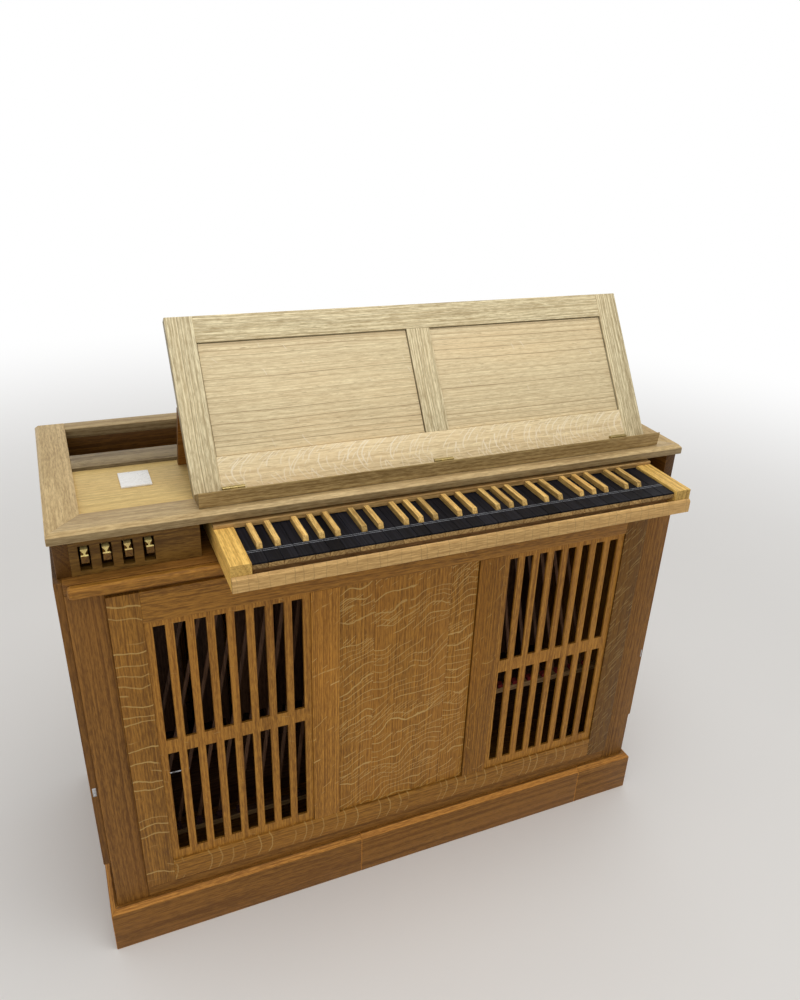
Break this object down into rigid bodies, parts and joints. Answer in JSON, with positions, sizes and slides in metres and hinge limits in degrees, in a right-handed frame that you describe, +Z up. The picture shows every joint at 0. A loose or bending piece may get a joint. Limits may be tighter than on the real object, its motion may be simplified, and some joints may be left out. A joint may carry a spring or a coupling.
{
  "type": "oak chest organ with sliding keyboard",
  "caption": "Small oak chest organ: sliding keyboard, stop levers in a jamb, slatted front grilles, plinth, a framed top with a well, and a propped music desk with a hinged lip.",
  "frame": {"origin": "middle of the floor area that the whole organ covers with its keyboard pulled out, at floor level", "axes": "+X to the player's right, +Y away from the player, +Z up"},
  "size_m": [1.124, 0.579, 1.0883],
  "materials": {
    "oak": "oiled oak",
    "oak_light": "pale oiled oak",
    "pale_wood": "plain sanded softwood",
    "pipe_wood": "dark stained wood",
    "ebony": "polished black wood",
    "boxwood": "smooth pale hardwood",
    "plaque": "bare white plate",
    "brass": "dull brass",
    "steel": "plain steel",
    "felt": "red felt"
  },
  "bodies": {
    "root": {"plinth_front": "oak", "plinth_back": "oak", "plinth_left": "oak", "plinth_right": "oak", "floor_board": "oak", "front_post_left": "oak", "front_post_right": "oak", "front_rails": "oak", "side_left": "oak", "side_right": "oak", "side_panel_left": "oak", "side_panel_right": "oak", "back_frame": "oak", "back_panels": "oak", "front_frame": "oak", "grille_left": "oak", "grille_right": "oak", "centre_panel": "oak", "deck": "oak", "ledge": "oak", "stop_jamb": "oak", "upper_side_left": "oak", "upper_side_right": "oak", "upper_back": "oak", "well_front": "oak", "top_frame": "oak", "top_panel": "oak", "plaque": "plaque", "runners": "pale_wood", "stop_block": "oak", "stop_pin": "steel", "desk_frame": "oak_light", "desk_panels": "oak_light", "lip_hinges": "brass", "prop_hinges": "brass", "windchest": "pale_wood", "wooden_pipes": "pipe_wood", "tracker_rails": "pale_wood", "trackers": "pale_wood", "felts": "felt"},
    "keyboard": {"tray_frame": "pale_wood", "slip": "oak", "cheek_left": "oak_light", "cheek_right": "oak_light", "name_rail": "oak", "natural_bodies": "pale_wood", "natural_covers": "ebony", "sharps": "boxwood"},
    "stop_1": {"stop_lever_1": "oak"},
    "stop_2": {"stop_lever_2": "oak"},
    "stop_3": {"stop_lever_3": "oak"},
    "stop_4": {"stop_lever_4": "oak"},
    "lip": {"desk_lip": "oak", "lip_leaves": "brass"},
    "prop": {"desk_prop": "oak"}
  },
  "joints": [
    {"name": "keyboard_slide", "type": "slide", "parent": "root", "child": "keyboard", "axis": [0, 1, 0], "range_m": [0, 0.11]},
    {"name": "stop_1_tilt", "type": "hinge", "parent": "root", "child": "stop_1", "pos_m": [-0.512, -0.0535, 0.8055], "axis": [1, 0, 0], "range_deg": [0, 8.5]},
    {"name": "stop_2_tilt", "type": "hinge", "parent": "root", "child": "stop_2", "pos_m": [-0.482, -0.0535, 0.8055], "axis": [1, 0, 0], "range_deg": [0, 8.5]},
    {"name": "stop_3_tilt", "type": "hinge", "parent": "root", "child": "stop_3", "pos_m": [-0.452, -0.0535, 0.8055], "axis": [1, 0, 0], "range_deg": [0, 8.5]},
    {"name": "stop_4_tilt", "type": "hinge", "parent": "root", "child": "stop_4", "pos_m": [-0.422, -0.0535, 0.8055], "axis": [1, 0, 0], "range_deg": [0, 8.5]},
    {"name": "lip_fold", "type": "hinge", "parent": "root", "child": "lip", "pos_m": [0.083, -0.11131, 0.85616], "axis": [-1, 0, 0], "range_deg": [0, 97.5]},
    {"name": "prop_fold", "type": "hinge", "parent": "root", "child": "prop", "pos_m": [0.083, -0.00732, 0.9549], "axis": [1, 0, 0], "range_deg": [0, 118]}
  ]
}
